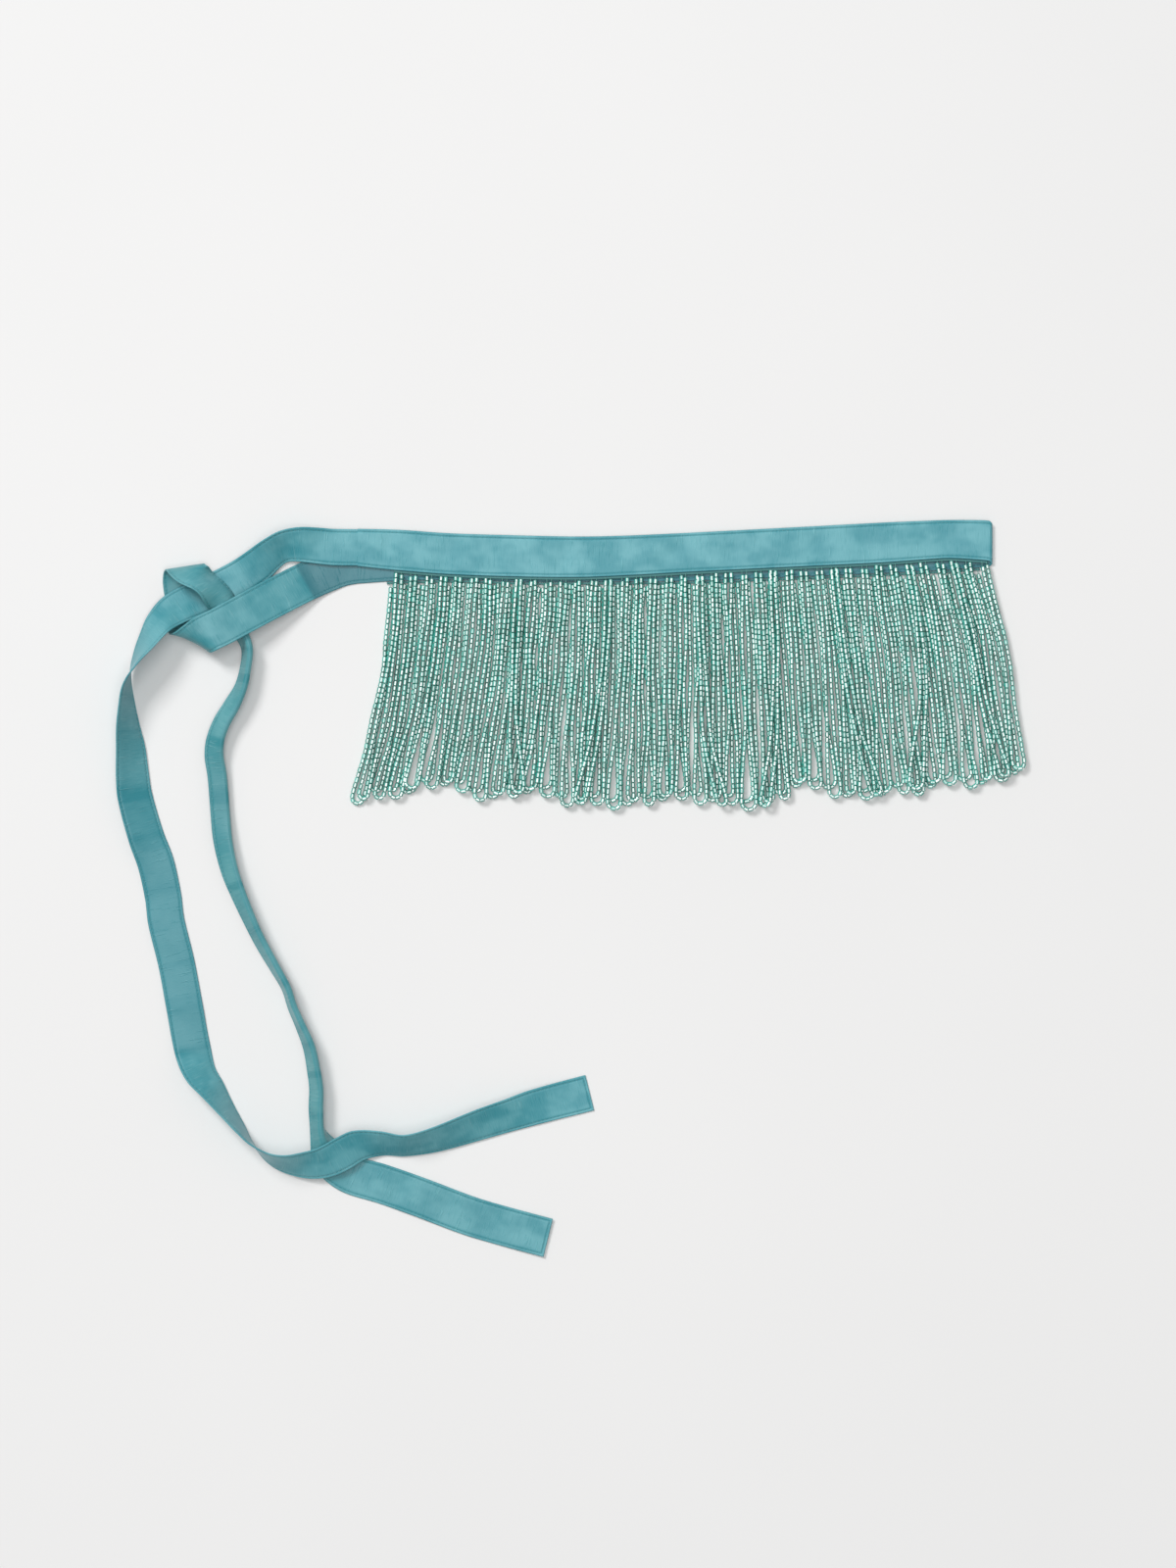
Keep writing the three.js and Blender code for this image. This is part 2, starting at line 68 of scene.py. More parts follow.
def smooth(rows, keys, at):
    """Every column of a table at the distances `at`, on the cubic (2t3 - 3t2 + 1)a + (t3 - 2t2 + t)m
    + (3t2 - 2t3)b + (t3 - t2)n between rows a and b, with slopes m and n taken from the rows on either side."""
    i = np.clip(np.searchsorted(keys, at, side="right") - 1, 0, len(keys) - 2)
    order = np.arange(len(keys))
    before = np.maximum(order - 1, 0)
    after = np.minimum(order + 1, len(keys) - 1)
    slopes = (rows[after] - rows[before]) / (keys[after] - keys[before])[:, None]
    span = (keys[i + 1] - keys[i])[..., None]
    t = (at - keys[i])[..., None] / span
    start = (2 * t**3 - 3 * t**2 + 1) * rows[i] + (t**3 - 2 * t**2 + t) * span * slopes[i]
    return start + (3 * t**2 - 2 * t**3) * rows[i + 1] + (t**3 - t**2) * span * slopes[i + 1]


def facing(place, along, across):
    """Unit normal of the surface place(along, across): its slope along times its slope across."""
    reach = 0.3
    run = place(along + reach, across) - place(along - reach, across)
    side = place(along, across + reach) - place(along, across - reach)
    normal = np.cross(run, side)
    return normal / np.linalg.norm(normal, axis=-1, keepdims=True)


def with_folds(place, folds):
    """The surface place(along, across), lifted along its normal by soft folds. Each fold adds
    height * exp(-(u / breadth)^2) * exp(-(v / length)^2), where v runs down the fold and u across it."""
    rows = np.array(folds, float)
    slant = np.radians(rows[:, 2])

    def folded(along, across):
        along, across = np.broadcast_arrays(along, across)
        ahead = along[..., None] - rows[:, 0]
        aside = across[..., None] - rows[:, 1]
        u = ahead * np.cos(slant) + aside * np.sin(slant)
        v = aside * np.cos(slant) - ahead * np.sin(slant)
        lift = rows[:, 5] * np.exp(-(u / rows[:, 4]) ** 2 - (v / rows[:, 3]) ** 2)
        return place(along, across) + facing(place, along, across) * lift.sum(-1)[..., None]

    return folded


STITCH_INSET = 1.8                      # topstitching, in from the cloth's edge


def half_thickness(inset):
    """Half the doubled cloth's thickness, `inset` mm in from its nearest edge: a rounded rim, a trough that the
    topstitching presses in, and a soft full middle."""
    rim_breadth, rim_half, middle_rise = 0.6, 0.12, 0.4
    trough_breadth, trough_depth = 0.5, 0.27
    share = np.clip(inset / rim_breadth, 0, 1)
    trough = np.exp(-((inset - STITCH_INSET) / trough_breadth) ** 2)
    return rim_half + middle_rise * np.sqrt(share * (2 - share)) - trough_depth * trough


def add_mesh(name, points, faces, material, attributes=None):
    """One object at the origin, made from points in millimetres and faces of equal size."""
    mesh = bpy.data.meshes.new(name)
    mesh.vertices.add(len(points))
    mesh.vertices.foreach_set("co", ((points + SHIFT) * MM).astype(np.float32).ravel())
    mesh.loops.add(faces.size)
    mesh.loops.foreach_set("vertex_index", faces.astype(np.int32).ravel())
    mesh.polygons.add(len(faces))
    mesh.polygons.foreach_set("loop_start", np.arange(0, faces.size, faces.shape[1], dtype=np.int32))
    for label, values in (attributes or {}).items():
        layer = mesh.attributes.new(label, "FLOAT_VECTOR", "POINT")
        layer.data.foreach_set("vector", values.astype(np.float32).ravel())
    mesh.update(calc_edges=True)
    mesh.shade_smooth()
    mesh.materials.append(material)
    piece = bpy.data.objects.new(name, mesh)
    bpy.context.scene.collection.objects.link(piece)
    return piece


def add_strip(name, place, along, across, hemmed, material, first=0.0, way=1):
    """Closed skin of a doubled strip: the middle surface place(along, across) moved out by half the thickness along
    its normals on both faces, and joined round the rim. `hemmed` says that its far end is a sewn edge. Attribute
    `weave` starts at `first` and runs forward or back with `way`, so that it goes on from the piece before, and
    `lie` says how far the strip runs across the room, from 0 to 1, and how level it lies."""
    inset = np.broadcast_to(across[-1] - np.abs(across), (along.size, across.size))
    if hemmed:
        inset = np.minimum(inset, (along[-1] - along)[:, None])
    middle = place(along[:, None], across[None, :])
    normal = facing(place, along[:, None], across[None, :])
    out = normal * half_thickness(inset)[..., None]
    points = np.concatenate([(middle + out).reshape(-1, 3), (middle - out).reshape(-1, 3)])
    order = np.arange(inset.size).reshape(inset.shape)
    top = np.stack([order[:-1, :-1], order[1:, :-1], order[1:, 1:], order[:-1, 1:]], -1).reshape(-1, 4)
    rim = np.concatenate([order[:-1, 0], order[-1, :-1], order[:0:-1, -1], order[0, :0:-1]])
    onward = np.roll(rim, -1)
    sides = np.stack([onward, rim, rim + order.size, onward + order.size], -1)
    faces = np.concatenate([top, top[:, ::-1] + order.size, sides])
    flat = np.stack(np.broadcast_arrays(first + way * along[:, None], across[None, :], inset), -1).reshape(-1, 3)
    run = np.gradient(middle, axis=0)
    lie = np.stack([run[..., 0] ** 2 / (run**2).sum(-1), np.abs(normal[..., 2]), 0 * inset], -1).reshape(-1, 3)
    return add_mesh(name, points, faces, material, {
        "weave": np.concatenate([flat, flat]), "lie": np.concatenate([lie, lie])})


def add_stitches(name, place, starts, ends, inset, material):
    """Topstitching on both faces: from starts to ends, each a pair of arrays (along, across), one small spindle for
    each stitch, of four sides and four rings whose radius is 0.3, 1, 1 and 0.3 of the thread's."""
    thread, proud = 0.21, 0.06
    shares = np.array([0.0, 0.22, 0.78, 1.0])
    radii = thread * np.array([0.3, 1.0, 1.0, 0.3])
    along = starts[0][:, None] + (ends[0] - starts[0])[:, None] * shares
    across = starts[1][:, None] + (ends[1] - starts[1])[:, None] * shares
    middle = place(along, across)
    out = facing(place, along, across)
    run = middle[:, -1:] - middle[:, :1]
    run = run / np.linalg.norm(run, axis=-1, keepdims=True)
    side = np.cross(run, out)
    turns = np.radians([45, 135, 225, 315])
    rings = []
    for face in (1, -1):
        centre = middle + face * out * (half_thickness(inset) + proud)
        spokes = np.cos(turns)[:, None] * side[..., None, :] + np.sin(turns)[:, None] * out[..., None, :]
        rings.append(centre[..., None, :] + radii[:, None, None] * spokes)
    points = np.concatenate(rings)
    order = np.arange(points[..., 0].size).reshape(points.shape[:3])
    a, b = order[:, :-1], order[:, 1:]
    skin = np.stack([a, np.roll(a, -1, 2), np.roll(b, -1, 2), b], -1).reshape(-1, 4)
    caps = np.concatenate([order[:, 0, ::-1], order[:, -1]])
    return add_mesh(name, points.reshape(-1, 3), np.concatenate([skin, caps]), material)


STITCH_LENGTH = 2.6
STITCH_GAP = 0.45


def seam_line(first, last, across):
    """Starts and ends of the stitches in one line down the strip, from `first` to `last`, at a place across it."""
    places = np.arange(first, last - STITCH_LENGTH, STITCH_LENGTH)
    sides = np.full(places.shape, float(across))
    return np.stack([places, sides]), np.stack([places + STITCH_LENGTH - STITCH_GAP, sides])


class Signal:
    """A socket in a material. Arithmetic on it adds Math nodes, and node() adds a node of any other kind."""

    def __init__(self, tree, socket=None):
        self.tree = tree
        self.socket = socket

    def node(self, kind, settings=None, sockets=None, output=0):
        """Adds a node: its settings first, a ramp's stops among them, then its sockets' values or links."""
        made = self.tree.nodes.new(kind)
        for name, value in (settings or {}).items():
            if name == "stops":
                elements = made.color_ramp.elements
                while len(elements) < len(value):
                    elements.new(1.0)
                for element, (position, colour) in zip(elements, value):
                    element.position = position
                    element.color = (*colour, 1.0)
            else:
                setattr(made, name, value)
        for name, value in (sockets or {}).items():
            if isinstance(value, Signal):
                self.tree.links.new(value.socket, made.inputs[name])
            else:
                made.inputs[name].default_value = value
        return Signal(self.tree, made.outputs[output])

    def math(self, operation, *values):
        return self.node("ShaderNodeMath", {"operation": operation}, dict(enumerate(values)))

    def __add__(self, other):
        return self.math("ADD", self, other)

    def __mul__(self, other):
        return self.math("MULTIPLY", self, other)

    def __sub__(self, other):
        return self.math("SUBTRACT", self, other)

    def __rsub__(self, other):
        return self.math("SUBTRACT", other, self)

    def __truediv__(self, other):
        return self.math("DIVIDE", self, other)

    __radd__ = __add__
    __rmul__ = __mul__

    def between(self, low, high):
        """0 below low, 1 above high, and a smooth rise from one to the other."""
        return self.node("ShaderNodeMapRange", {"interpolation_type": "SMOOTHSTEP"},
                         {"Value": self, "From Min": low, "From Max": high})

    def mix(self, low, high):
        """The colour low where this is 0 and high where it is 1. Either may be a link."""
        return self.node("ShaderNodeMix", {"data_type": "RGBA"}, {0: self, 6: low, 7: high}, output=2)


def new_material(name):
    """A material with no nodes but its output, and a Signal to start its expressions from."""
    material = bpy.data.materials.new(name)
    material.use_nodes = True
    material.node_tree.nodes.clear()
    return material, Signal(material.node_tree)


def finish_material(start, sockets):
    """Principled surface with those sockets, linked to the material's output."""
    surface = start.node("ShaderNodeBsdfPrincipled", {}, sockets)
    output = start.tree.nodes.new("ShaderNodeOutputMaterial")
    start.tree.links.new(surface.socket, output.inputs["Surface"])


CREASE = -36.0                          # crease in the back tie, measured from the seam at its start


def satin(name, dim, bright):
    """Slubby satin, with painted sheen and shade in its colour. It is painted dim where the strip runs up and down
    the room and bright where it runs across, a painted sheen for the way its warp catches the light. Where it runs
    up and down and also lies level it gets painted shade, and stripes of painted shade from soft folds across it.
    The back layer, from the crease beside the knot to the turn, is painted darker, as the shade that the front
    layer casts on it.
    Large soft patches are painted sheen and shade of the cloth's undulations, and the trough that the topstitching
    presses in gets a line of painted shade. Fine weft threads and a thick slub now and then run across the strip:
    both come from noise that is stretched that way."""
    material, start = new_material(name)
    weave = start.node("ShaderNodeAttribute", {"attribute_name": "weave"}, output="Vector")
    lying = start.node("ShaderNodeAttribute", {"attribute_name": "lie"}, output="Vector")

    def part(vector, axis):
        return start.node("ShaderNodeSeparateXYZ", {}, {0: vector}, output=axis)

    def threads(along, across, detail):
        """Noise over the weave, with about that many waves in a millimetre along the strip and across it."""
        scaled = start.node("ShaderNodeVectorMath", {"operation": "MULTIPLY"}, {0: weave, 1: (along, across, 0)})
        return start.node("ShaderNodeTexNoise", {}, {
            "Vector": scaled, "Scale": 1.0, "Detail": detail, "Roughness": 0.55})

    def tinted(tint):
        """The dim and bright colours times a tint, mixed by how far the strip runs across the room."""
        return lie.mix(*((*(a * b for a, b in zip(tint, colour)), 1) for colour in (dim, bright)))

    along, inset = part(weave, "X"), part(weave, "Z")
    lie, level = part(lying, "X"), part(lying, "Y")
    # painted shade: the back layer, from the crease beside the knot to the turn, is darkened where the front layer
    # shades it
    back = along.between(CREASE - 1.5, CREASE + 1.5) * along.between(TURN_START + 2, TURN_START - 2)
    # painted shade where a strip runs up and down the room and lies level
    painted_flat_shade = level.between(0.82, 0.97) * (1.0 - lie)
    fine = threads(2.6, 0.12, 3.0)
    slub = threads(0.75, 0.07, 2.0).between(0.58, 0.74)
    # painted sheen and shade of the cloth's soft undulations, in large soft patches
    patch = threads(0.045, 0.06, 2.0).between(0.34, 0.66)
    # painted shade of soft folds, in stripes across strips that run up and down
    painted_fold_shade = threads(0.065, 0.006, 1.0).between(0.50, 0.68) * (1.0 - lie)
    # painted shade in the trough that the topstitching presses in
    seam = start.math("ABSOLUTE", inset - STITCH_INSET).between(0.6, 0.1)
    shade = (fine - 0.5) * 0.8 + (patch - 0.5) * (lie * 0.34 + 0.18) + slub * 0.35 + 0.42
    shade = shade - seam * 0.45 - painted_fold_shade * 0.45 - painted_flat_shade * 0.08
    # painted sheen: dim and bright copies of the colour, mixed by how the strip runs across the room
    face = shade.mix(tinted((0.30, 0.70, 0.74)), tinted((1.60, 1.24, 1.20)))
    face = (painted_flat_shade * 0.45).mix(face, (0.018, 0.205, 0.250, 1))
    base = (back * 0.7).mix(face, (0.018, 0.130, 0.165, 1))
    bump = start.node("ShaderNodeBump", {}, {
        "Height": fine * 0.35 + slub * 0.8, "Distance": 0.0003, "Strength": 0.7})
    finish_material(start, {
        "Base Color": base, "Roughness": 0.34 + fine * 0.2, "Normal": bump,
        "IOR": 1.5, "Sheen Weight": 0.12, "Sheen Roughness": 0.35})
    return material


def thread_material(name, colour):
    """Twisted sewing thread: its own colour, with painted shade in the grooves of a fine twist."""
    material, start = new_material(name)
    place = start.node("ShaderNodeTexCoord", output="Object")
    twist = start.node("ShaderNodeTexNoise", {}, {"Vector": place, "Scale": 2600.0, "Detail": 1.0})
    dark = tuple(0.7 * c for c in colour)
    finish_material(start, {
        "Base Color": twist.mix((*dark, 1), (*colour, 1)), "Roughness": 0.45, "Sheen Weight": 0.2})
    return material


TURN_X = 265.0
TURN_Y = 217.4
TURN_RISE = 3.8                         # the strip's middle shifts this far along Y in the turn
TURN_RADIUS = 1.6
TURN_STEPS = 7


def turn_rows():
    """Round turn at the right end: half a circle in X and Z, up from the back layer to the front one."""
    angle = np.radians(np.linspace(-90, 90, TURN_STEPS))
    share = np.linspace(0, 1, TURN_STEPS)
    return np.stack([
        TURN_X + TURN_RADIUS * np.cos(angle), TURN_Y + TURN_RISE * share,
        0.6 + TURN_RADIUS * (1 + np.sin(angle)), np.full(TURN_STEPS, BAND_WIDTH)], -1)


band_rows = np.concatenate([np.array(BACK_ROWS), turn_rows(), np.array(FRONT_ROWS)])
band_keys = distances(band_rows)
BAND_LENGTH = band_keys[-1]
TURN_START = band_keys[len(BACK_ROWS)]
TURN_END = band_keys[len(BACK_ROWS) + TURN_STEPS - 1]


def band_place(along, across):
    """Middle of the waistband: the strip's middle line, with its width along Y."""
    along, across = np.broadcast_arrays(along, across)
    row = smooth(band_rows, band_keys, along)
    side = across * row[..., 3] / BAND_WIDTH
    return np.stack([row[..., 0], row[..., 1] + side, row[..., 2]], -1)


def on_front(x):
    """Distance along the strip to a place x on the front layer."""
    return BAND_LENGTH - (x - JOIN_X)


BAND_FOLDS = [                          # along, across, slant, length, breadth, height
    (on_front(-118), 2, 14, 11, 5, 0.7), (on_front(-99), -4, -26, 12, 6, -0.3), (on_front(-78), 3, 28, 14, 7, 0.8),
    (on_front(-52), -2, -24, 13, 6, 0.7), (on_front(-30), 5, 30, 12, 8, -0.3), (on_front(-8), -4, 23, 14, 7, 0.8),
    (on_front(21), 2, -33, 15, 8, 0.7), (on_front(49), -3, 26, 12, 7, -0.3), (on_front(66), 2, 40, 16, 6, 0.9),
    (on_front(101), -4, 27, 13, 8, 0.6), (on_front(128), 1, -26, 12, 7, -0.3), (on_front(156), 3, 25, 13, 8, 0.7),
    (on_front(190), -4, -28, 13, 7, 0.7), (on_front(214), 3, 24, 11, 6, -0.3), (on_front(240), 0, 12, 12, 7, 0.6),
    (70, 0, 5, 10, 9, 0.2), (150, -3, -6, 9, 9, 0.2), (230, 2, 4, 10, 9, 0.2), (310, -2, -5, 9, 9, 0.2),
]

EDGE_STEPS = np.array([0, 0.25, 0.6, 1.0, 1.35, 1.6, 1.8, 2.0, 2.25, 2.7, 3.6, 5.0, 6.8, 8.6, 10.6])


def places_across(width, middle):
    """Places across a strip, from one edge to the other: close together at both rims, and then as `middle` says."""
    least_step = 0.4
    inner = width / 2 - EDGE_STEPS
    inner = inner[inner > middle[-1] + least_step]
    side = np.concatenate([middle, inner[::-1]])
    return np.concatenate([-side[:0:-1], side])


CLOTH_STEP = 1.4
JOIN_STEP = 0.05                        # two close rows at a join keep its end wall from shading the faces


def stations(stretches):
    """Places along a strip: each stretch is (start, end, step), and the next begins where it ends."""
    lists = [np.linspace(a, b, max(2, int(round((b - a) / step)) + 1))[:-1] for a, b, step in stretches]
    return np.concatenate([*lists, [stretches[-1][1]]])


# the satin's colour where its painted sheen is brightest, as where a strip runs across the room
BRIGHT_SATIN = (0.102, 0.368, 0.420)
satin_band = satin("waistband_satin", BRIGHT_SATIN, BRIGHT_SATIN)
sewing_thread = thread_material("topstitch_thread", (0.13, 0.40, 0.43))
band = with_folds(band_place, BAND_FOLDS)
turn_step = 0.36
band_along = stations([
    (0, 2 * JOIN_STEP, JOIN_STEP), (2 * JOIN_STEP, TURN_START, CLOTH_STEP), (TURN_START, TURN_END, turn_step),
    (TURN_END, BAND_LENGTH - 2 * JOIN_STEP, CLOTH_STEP), (BAND_LENGTH - 2 * JOIN_STEP, BAND_LENGTH, JOIN_STEP)])
waistband = add_strip("waistband_cloth", band, band_along, places_across(BAND_WIDTH, np.array([0.0, 2.0])),
                      False, satin_band)
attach(waistband, "root")
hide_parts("waistband")

band_lines = [seam_line(1.0, BAND_LENGTH - 1.0, side * (BAND_WIDTH / 2 - STITCH_INSET)) for side in (-1, 1)]
band_stitches = add_stitches(
    "waistband_topstitching", band,
    np.concatenate([line[0] for line in band_lines], 1), np.concatenate([line[1] for line in band_lines], 1),
    STITCH_INSET, sewing_thread)
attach(band_stitches, "root")


# Front tie. The sash's long free end that runs on from the front layer: it makes the knot's outer curl, turns over
# on the left, hangs down, stands on edge at the lower corner, and ends square, closed and topstitched.

TIE_FRONT_WIDTH = 23.2

FRONT_TIE_ROWS = [                      # x, y, z, heading, lean, bend, spread
    (JOIN_X, 217.0, 3.2, 90, 0, 0, 20), (-153, 217.2, 4.2, 90, 3, 0, 20), (-163, 218.0, 5.8, 90, 10, 0, 20),
    (-174, 218.6, 7.6, 94, 20, 0, 20), (-184.5, 217.2, 7.8, 105, 32, 0, 20), (-192, 212.6, 7.0, 115, 30, 0, 20),
    (-200, 206.0, 5.2, 119, 16, 0, 20), (-210, 199.0, 3.6, 118, 4, 0, 20), (-222, 192.5, 3.4, 116, 0, 0, 20),
    (-241.5, 183.5, 4.8, 117, -7, 0, 20), (-254.5, 177.0, 8.8, 126, -22, 0, 20),
    (-263, 169.0, 12.8, 138, -39, 0, 20), (-271.5, 155.5, 15.0, 148, -57, 0, 20),
    (-277, 146.5, 15.2, 153, -71, 0, 20), (-280.5, 139.0, 14.4, 158, -82, 0, 20),
    (-282.5, 132.5, 13.4, 166, -93, 0, 20), (-283.5, 126.0, 12.6, 173, -102, 0, 20),
    (-283.5, 115.5, 11.7, 179, -112, 0, 20), (-283, 103.0, 10.4, 182, -124, 0, 20),
    (-281.5, 89.5, 8.9, 186, -137, 0, 20), (-280.5, 71.5, 6.6, 189, -150, 0, 20),
    (-279, 58.0, 5.3, 193, -157, 0, 20), (-272, 32.5, 3.9, 197, -164, 0, 20), (-266, 15.5, 2.0, 196, -174, 0, 20),
    (-261.5, -5.5, 0.9, 191, -179, 0, 20), (-259.5, -21.0, 1.6, 191, -176, 0, 20),
    (-253, -48.0, 1.2, 193, -178, 0, 20), (-248, -74.5, 1.6, 192, -176, 0, 20),
    (-242.5, -103.0, 3.0, 194, -168, 0, 20), (-237, -118.0, 7.6, 208, -144, 0, 20),
    (-229.5, -127.8, 10.0, 217, -128, 0, 20), (-220, -141.0, 11.5, 217, -112, 0, 20),
    (-211, -153.5, 12.3, 219, -100, 0, 20), (-204.5, -162.0, 12.6, 224, -89, 0, 20),
    (-194, -170.8, 12.6, 236, -72, 0, 20), (-184, -174.8, 12.0, 251, -58, 0, 20),
    (-174, -176.0, 11.4, 266, -44, 0, 20), (-163, -175.2, 11.2, 278, -32, 0, 20),
    (-154.5, -172.6, 10.6, 288, -23, 0, 20), (-146.5, -168.6, 9.8, 296, -20, 0, 20),
    (-136, -163.4, 9.0, 291, -29, 0, 20), (-121.5, -162.2, 9.2, 275, -45, 0, 20),
    (-107.5, -163.6, 10.2, 270, -51, 0, 20), (-90.5, -160.6, 9.4, 282, -45, 0, 20),
    (-61, -151.0, 7.0, 288, -31, 0, 20), (-40.5, -144.5, 5.2, 287, -23, 0, 20),
    (-24.5, -139.5, 3.4, 286, -12, 0, 20), (10.5, -130.5, 0.8, 284, 0, 0, 20),
]


def tie_place(rows):
    """Middle surface of a tie. A section's width leaves its middle at `heading` in plan and `lean` above level, and
    its direction swings by half of `bend` on each side over half of `spread`, so that a stretch b of that arc ends
    b * sinc(k b / 2) away, at the angle lean - k b / 2, with k = bend / spread, and runs on straight."""
    keys = distances(rows)

    def place(along, across):
        along, across = np.broadcast_arrays(along, across)
        row = smooth(rows, keys, along)
        heading, lean, bend = np.radians(row[..., 3]), np.radians(row[..., 4]), np.radians(row[..., 5])
        half = row[..., 6] / 2
        inner = np.clip(across, -half, half)
        swing = bend * inner / half / 2
        chord = inner * np.sinc(swing / 2 / np.pi)
        level = chord * np.cos(lean - swing / 2) + (across - inner) * np.cos(lean - swing)
        rise = chord * np.sin(lean - swing / 2) + (across - inner) * np.sin(lean - swing)
        return np.stack([
            row[..., 0] + level * np.cos(heading), row[..., 1] + level * np.sin(heading), row[..., 2] + rise], -1)

    return place, keys[-1]


FRONT_TIE_FOLDS = [                     # along, across, slant, length, breadth, height
    (24, 3, 20, 9, 5, 0.4), (47, -2, -35, 12, 4, 0.7), (60, 4, -30, 10, 4, 0.6), (96, 1, 12, 10, 6, 0.5),
    (128, -3, 30, 12, 5, 0.6), (150, 3, 28, 13, 5, -0.6), (171, 0, 18, 11, 5, 0.5), (214, 3, -10, 9, 8, 0.4),
    (262, -3, 14, 10, 8, 0.35), (300, 4, -12, 9, 9, 0.3), (352, -2, 10, 10, 8, 0.35), (398, 1, -25, 12, 6, 0.6),
    (425, -3, -30, 12, 6, -0.6), (452, 2, -22, 11, 5, 0.6), (486, 0, 15, 10, 7, 0.5), (530, 3, 28, 13, 6, 0.6),
    (566, -3, 20, 11, 7, 0.5), (610, 2, -14, 10, 8, 0.45), (655, -2, 10, 9, 8, 0.4), (700, 2, -8, 9, 8, 0.3),
]

satin_tie = satin("front_tie_satin", (0.108, 0.350, 0.395), BRIGHT_SATIN)


def add_tie(name, rows, width, folds, middle, material, first, way):
    """One tie: its cloth, and the topstitching along both edges and across its end. Returns the cloth and its
    length."""
    hem, hem_step, hem_stitches = 3, 0.25, 8
    place, length = tie_place(np.array(rows, float))
    cloth = with_folds(place, folds)
    along = stations([
        (0, 2 * JOIN_STEP, JOIN_STEP), (2 * JOIN_STEP, length - hem, CLOTH_STEP), (length - hem, length, hem_step)])
    strip = add_strip(name + "_cloth", cloth, along, places_across(width, middle), True, material, first, way)
    edge = width / 2 - STITCH_INSET
    lines = [seam_line(1.0, length - STITCH_INSET, side * edge) for side in (-1, 1)]
    steps = np.linspace(-edge, edge, hem_stitches + 1)
    last = np.full(hem_stitches, length - STITCH_INSET)
    starts = np.concatenate([lines[0][0], lines[1][0], np.stack([last, steps[:-1]])], 1)
    ends = np.concatenate([lines[0][1], lines[1][1], np.stack([last, steps[1:] - STITCH_GAP])], 1)
    stitches = add_stitches(name + "_topstitching", cloth, starts, ends, STITCH_INSET, sewing_thread)
    for piece in (strip, stitches):
        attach(piece, "root")
    return strip, length


front_tie, FRONT_TIE_LENGTH = add_tie(
    "front_tie", FRONT_TIE_ROWS, TIE_FRONT_WIDTH, FRONT_TIE_FOLDS, np.array([0.0, 2.0]), satin_tie,
    BAND_LENGTH, 1)
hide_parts("tie_front")


# Back tie. The other free end, which runs on from the back layer. It goes over the front tie, rolls under, comes
# back under and over it through the half knot, is folded double lengthwise as it hangs, and ends square beside
# the other.

TIE_BACK_WIDTH = 25.0

